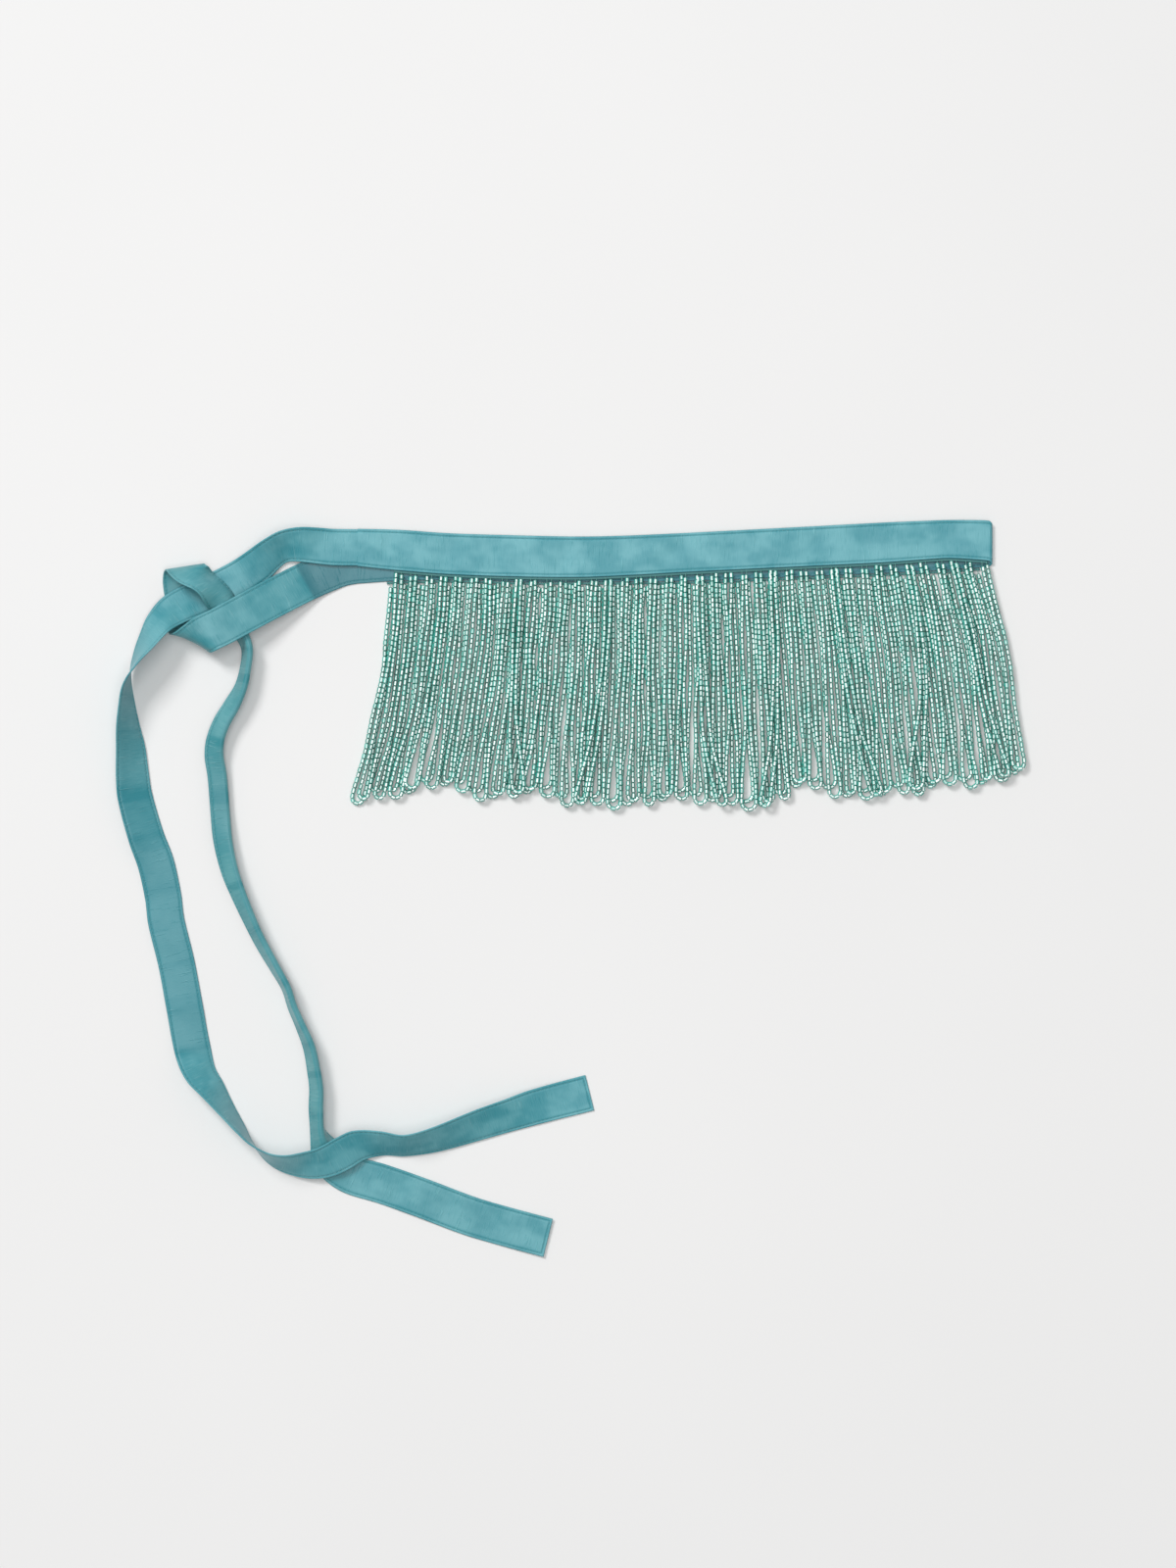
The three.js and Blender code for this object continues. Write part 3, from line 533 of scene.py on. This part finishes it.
BACK_TIE_ROWS = [                       # x, y, z, heading, lean, bend, spread
    (JOIN_X, 206.6, 0.6, 90, 0, 0, 20), (-147, 205.0, 0.7, 102, 0, 0, 20), (-159.5, 200.2, 1.2, 115, 0, 0, 20),
    (-167, 196.8, 2.0, 119, 0, 0, 20), (-175, 192.8, 4.4, 119, 0, 0, 20), (-190.5, 184.5, 9.4, 119, 0, 0, 20),
    (-209.5, 174.0, 14.6, 119, 0, 0, 20), (-224, 166.0, 17.2, 120, 0, 0, 20),
    (-233.0, 161.6, 17.8, 122, 2, 0, 20), (-238.6, 158.3, 16.2, 134, 20, 0, 20),
    (-242.9, 157.4, 11.8, 154, 26, 0, 20),
    (-245.1, 160.4, 7.6, 173, 20, 0, 20), (-245.3, 165.8, 4.6, 187, 5, 0, 20), (-246.2, 174.8, 1.8, 192, 0, 0, 20),
    (-248, 186.0, 0.8, 193, 0, 0, 20), (-249.4, 196.5, 1.0, 192, 0, 0, 20), (-248.8, 202.3, 3.4, 190, 0, 0, 20),
    (-247, 204.3, 8.6, 189, 2, 0, 20), (-244.5, 202.3, 13.8, 192, 6, 12, 20),
    (-239.9, 199.1, 16.2, 205, 30, 24, 20), (-233.8, 195.3, 16.0, 217, 50, 24, 22),
    (-227.1, 190.6, 15.4, 220, 46, 48, 22),
    (-220.4, 182.1, 14.0, 212, 26, 118, 20), (-214.5, 171.0, 11.8, 205, 16, 169, 10),
    (-208.0, 161.5, 12.1, 195, 23, 166, 6), (-205, 152.5, 12.9, 184, 19, 168, 4.5),
    (-206, 139.5, 12.9, 174, 19, 168, 4.5), (-208.5, 127.0, 12.4, 166, 26, 168, 4.5),
    (-213, 115.0, 11.0, 157, 43, 168, 4.5), (-219, 104.0, 9.9, 154, 50, 168, 4.5),
    (-222.5, 94.0, 9.2, 165, 56, 168, 4.5), (-223, 84.5, 7.4, 180, 68, 168, 4.5),
    (-221, 72.0, 5.2, 184, 80, 168, 4.5), (-219, 47.5, 5.2, 184, 80, 168, 4.5),
    (-217.5, 31.0, 7.7, 188, 66, 168, 4.5), (-214, 13.0, 9.8, 194, 52, 168, 4.5),
    (-209, -3.0, 11.7, 200, 37, 168, 4.5), (-201, -23.5, 12.7, 204, 25, 168, 4.5),
    (-195.5, -35.0, 12.8, 207, 22, 168, 4.5), (-187.5, -50.5, 13.1, 207, 15, 168, 4.5),
    (-181, -63.0, 13.2, 205, 11, 168, 4.5), (-177, -75.0, 13.2, 204, 12, 168, 4.5),
    (-172, -86.0, 13.2, 204, 14, 168, 4.5), (-165.5, -100.0, 12.9, 201, 22, 168, 4.5),
    (-162, -114.5, 12.6, 192, 27, 168, 4.5), (-160, -127.0, 12.4, 184, 30, 168, 4.5),
    (-160, -140.0, 12.4, 181, 31, 166, 4.5), (-160, -153.0, 12.6, 182, 18, 150, 4.5),
    (-158.5, -162.0, 11.6, 192, 6, 110, 6), (-155.5, -170.0, 7.4, 210, 2, 60, 14),
    (-150, -177.0, 3.6, 230, 0, 24, 20), (-140.5, -183.0, 1.4, 246, 0, 6, 20),
    (-122, -188.6, 0.8, 253, 0, 0, 20), (-98.5, -196.8, 1.4, 250, 0, 0, 20), (-65, -209.4, 1.1, 251, 0, 0, 20),
    (-39.5, -216.8, 1.2, 254, 0, 0, 20), (-16, -223.0, 2.0, 256, 0, 0, 20),
]

BACK_TIE_FOLDS = [                      # along, across, slant, length, breadth, height
    (30, 2, 20, 9, 5, 0.3), (55, -3, -15, 9, 6, 0.3), (85, 3, 12, 10, 6, 0.4), (205, -3, 20, 9, 5, 0.3),
    (222, 4, -25, 9, 5, 0.3), (262, -6, 10, 6, 6, 0.25), (300, 6, -12, 5, 8, 0.25), (350, -7, 14, 5, 8, 0.25),
    (395, 7, -10, 5, 9, 0.25), (440, -7, 12, 5, 9, 0.3), (490, 7, -14, 5, 8, 0.25), (530, -7, 10, 5, 8, 0.25),
    (640, 2, 18, 10, 6, 0.45), (672, -3, -16, 9, 6, 0.4), (702, 3, 12, 10, 7, 0.4), (728, -2, -10, 9, 7, 0.35),
]

satin_tie_back = satin("back_tie_satin", (0.112, 0.340, 0.365), (0.092, 0.345, 0.395))

back_tie, BACK_TIE_LENGTH = add_tie(
    "back_tie", BACK_TIE_ROWS, TIE_BACK_WIDTH, BACK_TIE_FOLDS,
    np.array([0.0, 0.45, 0.9, 1.35, 1.8, 2.3, 3.1, 4.2]), satin_tie_back, 0.0, -1)
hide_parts("tie_back")


# Fringe tapes. A narrow corded tape is sewn behind the lower edge of each layer of the waistband, and holds the
# threads that the beads are strung on. Forty loops hang from each tape.

LOOPS = 40
TAPE_WIDTH = 1.5
TAPE_GAP = 0.3
TAPE_OVERHANG = 3.0
GOLDEN = 0.618034
PLASTIC = 0.754878

# Each layer: the rows that its edge follows, the heights of its tape, strands and beads, the spacing and drift of
# its strands, the two ends of its tape, and the loops that stray, by number, with how far their ends stray.
LAYERS = {
    "back": dict(
        rows=np.array([*BACK_ROWS, (TURN_X, TURN_Y, 0.6, BAND_WIDTH)]), lift=0.38, lie=0.98, bead_lift=0.52,
        phase=0.35, drift=0.05, first=-115.8, last=256.8, end_shift=-2.7, shorter=2.5, crossings={}),
    "front": dict(
        rows=np.array([(TURN_X, 221.2, 3.8, BAND_WIDTH), *FRONT_ROWS])[::-1], lift=0.0, lie=3.4, bead_lift=0.6,
        phase=0.0, drift=0.0, first=-111.2, last=261.4, end_shift=0.0, shorter=0.0,
        crossings={8: 12.6, 14: -11.2, 20: 14.0, 25: -12.6, 29: 15.4, 34: -12.6, 37: 11.2}),
}


def lower_edge(layer, x):
    """Y and Z of a layer's lower edge at places x: its middle line less half its width."""
    rows = layer["rows"]
    row = smooth(rows, rows[:, 0], x)
    return row[..., 1] - row[..., 3] / 2, row[..., 2]


def add_tape(name, layer, material):
    """A round-edged tape along the edge: a superellipse section that swells and narrows with its cord's twist."""
    step, twist, half_height, roundness = 0.75, 1.5, 0.55, 0.7
    x = np.arange(layer["first"] - TAPE_OVERHANG, layer["last"] + TAPE_OVERHANG, step)
    y, z = lower_edge(layer, x)
    turn = np.linspace(0, 2 * np.pi, 9)[:-1]
    swell = 1 + 0.1 * np.sin(x[:, None] * 2 * np.pi / twist + turn)
    across = TAPE_WIDTH / 2 * np.sign(np.cos(turn)) * np.abs(np.cos(turn)) ** roundness
    height = half_height * np.sign(np.sin(turn)) * np.abs(np.sin(turn)) ** roundness
    centre_y = y - TAPE_GAP - TAPE_WIDTH / 2
    points = np.stack(np.broadcast_arrays(
        x[:, None], centre_y[:, None] + across * swell, z[:, None] + layer["lift"] + height * swell), -1)
    order = np.arange(points[..., 0].size).reshape(points.shape[:2])
    a, b = order[:-1], order[1:]
    skin = np.stack([a, b, np.roll(b, -1, 1), np.roll(a, -1, 1)], -1).reshape(-1, 4)
    first, final = order[0], order[-1, ::-1]
    caps = np.array([[ring[0], ring[k], ring[k + 1], ring[k + 2]] for ring in (first, final) for k in (1, 3, 5)])
    return add_mesh(name, points.reshape(-1, 3), np.concatenate([skin, caps]), material)


tape_thread = thread_material("fringe_tape_thread", (0.05, 0.22, 0.22))
for side, layer in LAYERS.items():
    tape = add_tape(f"{side}_fringe_tape", layer, tape_thread)
    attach(tape, "root")
    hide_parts(f"fringe_{side}")


# Bead loops. Green glass tube beads, with a bright lustre that is partly a painted highlight, are strung on a thin
# thread that leaves the tape, turns round at the lower end and comes back, so that each loop hangs as a pair of
# strands.

BEAD_RADIUS = 1.34
BEAD_SIDES = 8
BEAD_LENGTH = 3.15
BEAD_PITCH = 3.3
THREAD_RADIUS = 0.24
PAIR_SPACING = 3.0
FLARE = 4                               # the two legs of a loop part mostly near its end
CROSSING_LIFT = 2.35                    # a loop that strays lies this much higher

HEM_ROWS = np.array([                   # x, y of the line that the loops' lower ends follow
    (-134, 54), (-110, 61), (-86, 65), (-58, 58), (-23, 59), (-6, 54), (47, 54), (70, 56), (127, 54), (144, 64),
    (180, 58), (215, 60), (237, 66), (266, 68), (286, 73)], float)
HEM_LEFT = -134.0
HEM_RIGHT = 284.0


def scatter(index, ratio, phase):
    """Even but unrepeating spread from -0.5 to 0.5: the fraction of (index + 1) * ratio + phase, less a half."""
    return ((index + 1) * ratio + phase) % 1.0 - 0.5


def waver(x, y, drift):
    """Sideways drift of a whole layer: three sine waves over the plan, which bunch its strands a little."""
    wave = 2 * np.pi
    return (1.3 * np.sin(wave * (x / 71 + y / 150 + drift))
            + 0.9 * np.sin(wave * (x / 43 - y / 95 + 2.3 * drift))
            + 0.5 * np.sin(wave * (x / 29 + y / 47 + 4.1 * drift)))


def loop_lines(layer):
    """Points of every loop, [loop, point, xyz]: the root, four down the left leg, three round the end, four up the
    right leg, and the root. A leg leans from its root to its end as share ** power, and its loop's end is round.
    Each loop that strays across its neighbours, as share ** 3, lies on top of one that hangs straight."""
    inside, clear = 0.9, 2.8            # below the edge: where a strand starts, and where it is clear of the tape
    root_stray, end_stray, length_stray = 1.2, 1.6, 7
    mean_radius, radius_stray, drift_share = 3.8, 1.6, 0.4
    strays = sorted(layer["crossings"])
    index = np.concatenate([np.arange(LOOPS), strays]).astype(float)
    crossing = np.concatenate([np.zeros(LOOPS), [layer["crossings"][k] for k in strays]])
    part = index / (LOOPS - 1)
    phase = layer["phase"]
    root_x = layer["first"] + (layer["last"] - layer["first"]) * part
    root_x = root_x + root_stray * scatter(index, GOLDEN, phase)
    hung_x = HEM_LEFT + (HEM_RIGHT - HEM_LEFT) * part + end_stray * scatter(index, PLASTIC, phase)
    hung_x = hung_x + layer["end_shift"]
    end_y = smooth(HEM_ROWS, HEM_ROWS[:, 0], hung_x + crossing)[:, 1]
    end_y = end_y + layer["shorter"] + length_stray * scatter(index, GOLDEN, 0.2 + phase)
    radius = mean_radius + radius_stray * scatter(index, PLASTIC, 0.5 + phase)
    edge_y, edge_z = lower_edge(layer, root_x)
    power = 1.6 - part
    share = np.array([0, 0.35, 0.7, 1.0])
    y = (edge_y - clear)[:, None] + (end_y + radius - edge_y + clear)[:, None] * share
    middle = root_x[:, None] + (hung_x - root_x)[:, None] * share ** power[:, None]
    middle = middle + crossing[:, None] * share**3
    z = np.where(share > 0, layer["lie"] + CROSSING_LIFT * (crossing != 0)[:, None], layer["lie"])
    drift_share = drift_share * np.minimum(1, share / share[1])
    legs = []
    for side in (-1, 1):
        x = middle + side * (PAIR_SPACING / 2 + (radius[:, None] - PAIR_SPACING / 2) * share**FLARE)
        x = x + drift_share * waver(x, y, layer["drift"])
        root = np.stack([root_x + side * PAIR_SPACING / 2, edge_y - inside, edge_z + layer["lift"]], -1)
        legs.append(np.concatenate([root[:, None], np.stack([x, y, z], -1)], 1))
    centre = (legs[0][:, -1:] + legs[1][:, -1:]) / 2
    reach = (legs[1][:, -1:, 0] - legs[0][:, -1:, 0]) / 2
    angle = np.radians([-135, -90, -45])
    bend = centre + np.stack([reach * np.cos(angle), reach * np.sin(angle), 0 * angle * reach], -1)
    lines = np.concatenate([legs[0], bend, legs[1][:, ::-1]], 1)
    lines[..., 2] += layer["bead_lift"]
    return lines


def add_thread(name, lines, material):
    """Thread down each loop: four sides round the loop's line, with a ring at every bead's end."""
    points, faces, total = [], [], 0
    for line in lines:
        keys = distances(line)
        at = np.linspace(0, keys[-1], int(keys[-1] / BEAD_PITCH) + 1)
        centre = smooth(line, keys, at)
        run = np.gradient(centre, axis=0)
        side = np.stack([run[:, 1], -run[:, 0], 0 * run[:, 0]], -1)
        side = side / np.linalg.norm(side, axis=1, keepdims=True)
        rise = np.cross(side, run)
        rise = rise / np.linalg.norm(rise, axis=1, keepdims=True)
        turn = np.radians([45, 135, 225, 315])[:, None]
        ring = centre[:, None] + THREAD_RADIUS * (np.cos(turn) * side[:, None] + np.sin(turn) * rise[:, None])
        order = total + np.arange(len(at) * 4).reshape(-1, 4)
        a, b = order[:-1], order[1:]
        faces += [np.stack([a, b, np.roll(b, -1, 1), np.roll(a, -1, 1)], -1).reshape(-1, 4)]
        faces += [order[:1], order[-1:, ::-1]]
        points.append(ring.reshape(-1, 3))
        total += order.size
    return add_mesh(name, np.concatenate(points), np.concatenate(faces), material)


def add_beads(name, lines, seed, material):
    """Tube beads down each loop, [bead, ring, side]: a straight tube, and a short bevel at both ends that a sharp
    edge parts from it. The lengths differ by up to 12 %, the ends stray a little, and each loop swings slowly from
    side to side. Attribute `bead` holds tone, end bevel, and a polish that sets roughness and the painted
    highlight."""
    chance = np.random.default_rng(seed)
    heads, tails = [], []
    for line in lines:
        keys = distances(line)
        lead, rest = chance.uniform(0.4, 3.0, 2)
        strung = keys[-1] - lead - rest
        lengths = BEAD_PITCH * (1 + 0.12 * chance.uniform(-1, 1, int(strung / BEAD_PITCH)))
        stops = np.concatenate([[0.0], np.cumsum(lengths)])
        stops = lead + stops * strung / stops[-1]
        ends = smooth(line, keys, stops)
        swing = np.sin(2 * np.pi * (stops / chance.uniform(32, 90) + chance.uniform(0, 1)))
        ends[:, 0] += chance.uniform(0.05, 0.6) * swing
        ends[:, :2] += 0.14 * chance.uniform(-1, 1, (len(stops), 2))
        gap = 0.5 * (1 - BEAD_LENGTH / BEAD_PITCH)
        heads.append(ends[:-1] + gap * (ends[1:] - ends[:-1]))
        tails.append(ends[1:] - gap * (ends[1:] - ends[:-1]))
    head, tail = np.concatenate(heads), np.concatenate(tails)
    run = tail - head
    run = run / np.linalg.norm(run, axis=1, keepdims=True)
    side = np.stack([run[:, 1], -run[:, 0], 0 * run[:, 0]], -1)
    side = side / np.linalg.norm(side, axis=1, keepdims=True)
    rise = np.cross(side, run)
    thick = BEAD_RADIUS * (1 + 0.07 * chance.uniform(-1, 1, len(head)))
    share = np.array([0.0, 0.12, 0.88, 1.0])
    ring = np.array([0.75, 1.0, 1.0, 0.75])
    turn = (np.arange(BEAD_SIDES) * 2 * np.pi / BEAD_SIDES)[None, :, None]
    spoke = np.cos(turn) * side[:, None] + np.sin(turn) * rise[:, None]
    centre = head[:, None] + (tail - head)[:, None] * share[:, None]
    points = centre[:, :, None] + (thick[:, None] * ring)[..., None, None] * spoke[:, None]
    order = np.arange(points[..., 0].size).reshape(points.shape[:3])
    a, b = order[:, :-1], order[:, 1:]
    skin = np.stack([a, b, np.roll(b, -1, 2), np.roll(a, -1, 2)], -1).reshape(-1, 4)
    caps = [order[:, 0][:, [0, k, k + 1, k + 2]] for k in range(1, BEAD_SIDES - 1, 2)]
    caps += [order[:, -1][:, [k + 2, k + 1, k, 0]] for k in range(1, BEAD_SIDES - 1, 2)]
    tone = chance.uniform(0, 1, len(head))
    polish = chance.uniform(0, 1, len(head))
    values = np.stack(np.broadcast_arrays(
        tone[:, None, None], (ring < 1).astype(float)[:, None], polish[:, None, None]), -1)
    values = np.broadcast_to(values, points.shape)
    beads = add_mesh(name, points.reshape(-1, 3), np.concatenate([skin, *caps]), material,
                     {"bead": values.reshape(-1, 3)})
    joined = np.empty(len(beads.data.edges) * 2, np.int32)
    beads.data.edges.foreach_get("vertices", joined)
    rings = joined.reshape(-1, 2) // BEAD_SIDES % len(share)
    inner_ring = (rings[:, 0] == rings[:, 1]) & (rings[:, 0] % (len(share) - 1) > 0)
    beads.data.edges.foreach_set("use_edge_sharp", inner_ring)
    return beads


def bead_glass(name):
    """Green glass tube with a lined hole and a painted highlight: where the bead is seen square on, a pale line is
    painted down its middle for its shine, and towards the sides the glass is deep green. Each bead has its own
    tone, and its ends are painted darker, as shade where bead meets bead."""
    material, start = new_material(name)
    bead = start.node("ShaderNodeAttribute", {"attribute_name": "bead"}, output="Vector")
    tone, end, polish = (start.node("ShaderNodeSeparateXYZ", {}, {0: bead}, output=axis) for axis in "XYZ")
    aside = start.node("ShaderNodeLayerWeight", {}, {"Blend": 0.5}, output="Facing")
    glass = tone.mix((0.014, 0.270, 0.210, 1), (0.060, 0.520, 0.430, 1))
    # painted highlight: a pale streak down the middle of each bead, stronger on the more polished ones
    painted_streak = aside.between(0.16, 0.05) * (polish * 0.6 + 0.4)
    tube = painted_streak.mix(glass, (0.95, 1.0, 0.98, 1))
    # painted shade at the bead's ends, where it meets the next
    base = (end * 0.65).mix(tube, (0.008, 0.130, 0.095, 1))
    finish_material(start, {
        "Base Color": base, "Roughness": 0.10 + polish * 0.12, "IOR": 1.6,
        "Coat Weight": 1.0, "Coat Roughness": 0.06, "Coat IOR": 1.7})
    return material


bead_thread = thread_material("bead_thread", (0.16, 0.42, 0.36))
glass = bead_glass("green_bead_glass")
for seed, (side, layer) in enumerate(LAYERS.items()):
    lines = loop_lines(layer)
    strings = [add_thread(f"{side}_bead_thread", lines, bead_thread)]
    strings.append(add_beads(f"{side}_beads_left", lines[:LOOPS // 2], 10 + seed, glass))
    strings.append(add_beads(f"{side}_beads_right", lines[LOOPS // 2:], 20 + seed, glass))
    for piece in strings:
        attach(piece, "root")
        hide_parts(f"fringe_{side}")


# Surface, light and camera. A plain pale surface, a large soft light high on the left towards the waistband, a long
# weak one straight above, pale surroundings, and a camera that looks straight down. Light and camera are in metres.

def floor_paper(name):
    """Pale matt paper, very slightly mottled."""
    material, start = new_material(name)
    place = start.node("ShaderNodeTexCoord", output="Object")
    mottle = start.node("ShaderNodeTexNoise", {}, {"Vector": place, "Scale": 3.0, "Detail": 2.0})
    finish_material(start, {
        "Base Color": mottle.mix((0.79, 0.785, 0.78, 1), (0.82, 0.815, 0.81, 1)), "Roughness": 0.9})
    return material


corner = 3000.0
floor_points = np.array([(-corner, -corner, 0), (corner, -corner, 0), (corner, corner, 0), (-corner, corner, 0)])
floor = add_mesh("surface", floor_points, np.array([[0, 1, 2, 3]]), floor_paper("pale_surface"))


def add_softbox(name, place, width, length, energy):
    """Rectangular soft light at a place in metres, turned to face the middle of the belt."""
    light = bpy.data.lights.new(name, "AREA")
    light.shape = "RECTANGLE"
    light.size = width
    light.size_y = length
    light.energy = energy
    lamp = bpy.data.objects.new(name, light)
    lamp.location = place
    lamp.rotation_euler = Vector(place).to_track_quat("Z", "Y").to_euler()
    bpy.context.scene.collection.objects.link(lamp)


add_softbox("softbox", (-4.2, 4.6, 6.4), width=2.6, length=2.6, energy=450.0)
add_softbox("top_strip", (-0.1, 0.2, 3.6), width=1.2, length=3.0, energy=58.0)

bpy.context.scene.view_settings.view_transform = "Standard"

world = bpy.data.worlds.new("studio")
world.use_nodes = True
world.node_tree.nodes["Background"].inputs["Color"].default_value = (0.98, 0.99, 1.0, 1)
world.node_tree.nodes["Background"].inputs["Strength"].default_value = 0.29
bpy.context.scene.world = world

camera_data = bpy.data.cameras.new("camera")
camera_data.sensor_width = 36.0
camera_data.lens = 108.0
camera = bpy.data.objects.new("camera", camera_data)
camera.location = (0.0116, 0.0666, 3.0)
bpy.context.scene.collection.objects.link(camera)
bpy.context.scene.camera = camera
